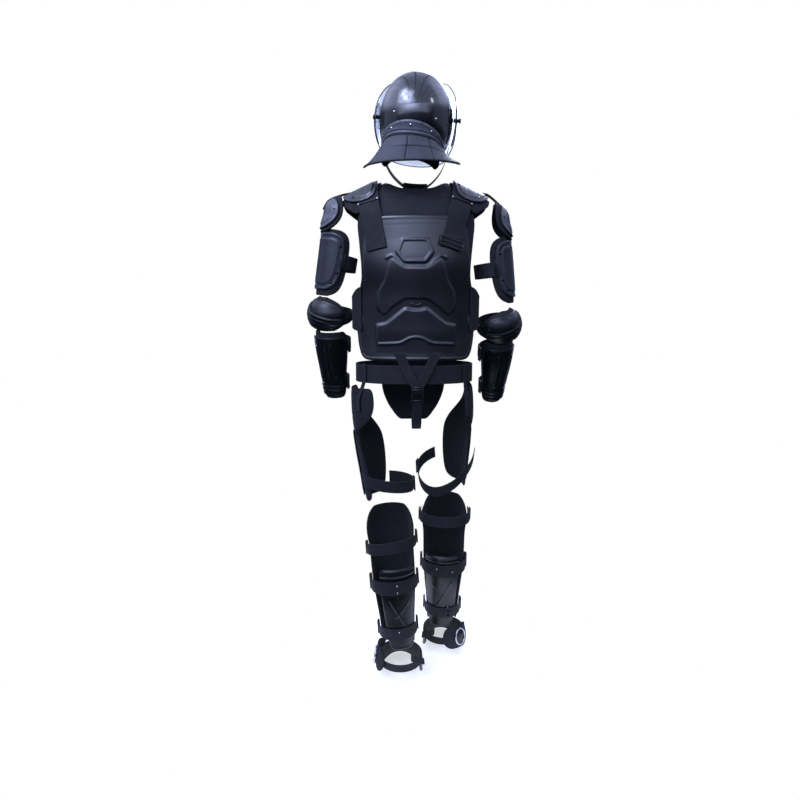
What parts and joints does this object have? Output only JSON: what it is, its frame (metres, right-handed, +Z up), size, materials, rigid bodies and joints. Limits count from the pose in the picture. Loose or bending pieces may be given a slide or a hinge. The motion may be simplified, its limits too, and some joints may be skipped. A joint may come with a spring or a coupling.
{
  "type": "riot suit",
  "caption": "Worn suit of protective armour: helmet with lifting face shield, padded vest with moulded plates, limb guards on webbing, and a belt with a strap between the legs.",
  "frame": {"origin": "on the wearer's centre line at the height where the shoulders bear the suit, 1.55 m above the line of the heels", "axes": "+Z up along the standing wearer, +Y the way the wearer faces, +X the wearer's right"},
  "size_m": [0.6501, 0.486, 1.8753],
  "materials": {
    "armour": "satin moulded plastic with a blue-grey sheen",
    "shell": "polished helmet shell",
    "cloth": "matte woven cover over foam",
    "webbing": "woven polyester webbing",
    "guard": "stitched coated cloth, slate",
    "clear": "clear polycarbonate",
    "knob": "black nylon"
  },
  "bodies": {
    "suit": {"back_panel": "cloth", "back_plate": "armour", "calf_plate_left": "armour", "calf_plate_right": "armour", "calf_strap_lower_left": "webbing", "calf_strap_lower_right": "webbing", "calf_strap_upper_left": "webbing", "calf_strap_upper_right": "webbing", "chest_panel": "cloth", "chest_plate": "armour", "elbow_cap_left": "armour", "elbow_cap_right": "armour", "foot_guard_left": "armour", "foot_guard_right": "armour", "forearm_pad_left": "cloth", "forearm_pad_right": "cloth", "forearm_plate_left": "armour", "forearm_plate_right": "armour", "forearm_strap_lower_left": "webbing", "forearm_strap_lower_right": "webbing", "forearm_strap_upper_left": "webbing", "forearm_strap_upper_right": "webbing", "groin_buckle": "knob", "groin_guard": "cloth", "groin_strap": "webbing", "helmet_band": "shell", "helmet_shell": "shell", "knee_strap_left": "webbing", "knee_strap_right": "webbing", "leg_pad_left": "cloth", "leg_pad_right": "cloth", "neck_guard": "guard", "shin_plate_left": "armour", "shin_plate_right": "armour", "shoulder_cap_left": "armour", "shoulder_cap_right": "armour", "shoulder_pad_left": "cloth", "shoulder_pad_right": "cloth", "shoulder_plate_left": "armour", "shoulder_plate_right": "armour", "shoulder_strap_left": "webbing", "shoulder_strap_right": "webbing", "side_strap_left": "webbing", "side_strap_right": "webbing", "thigh_pad_left": "cloth", "thigh_pad_right": "cloth", "thigh_plate_left": "armour", "thigh_plate_right": "armour", "thigh_strap_left": "webbing", "thigh_strap_right": "webbing", "upper_arm_pad_left": "cloth", "upper_arm_pad_right": "cloth", "upper_arm_plate_left": "armour", "upper_arm_plate_right": "armour", "upper_arm_strap_left": "webbing", "upper_arm_strap_right": "webbing", "waist_belt": "webbing"},
    "visor": {"visor": "clear", "visor_knob_left": "knob", "visor_knob_right": "knob"}
  },
  "joints": [
    {"name": "visor_hinge", "type": "hinge", "parent": "suit", "child": "visor", "pos_m": [-0.00113, 0.01, 0.22196], "axis": [0.9865, -0.1392, -0.0863], "range_deg": [0, 65]}
  ]
}
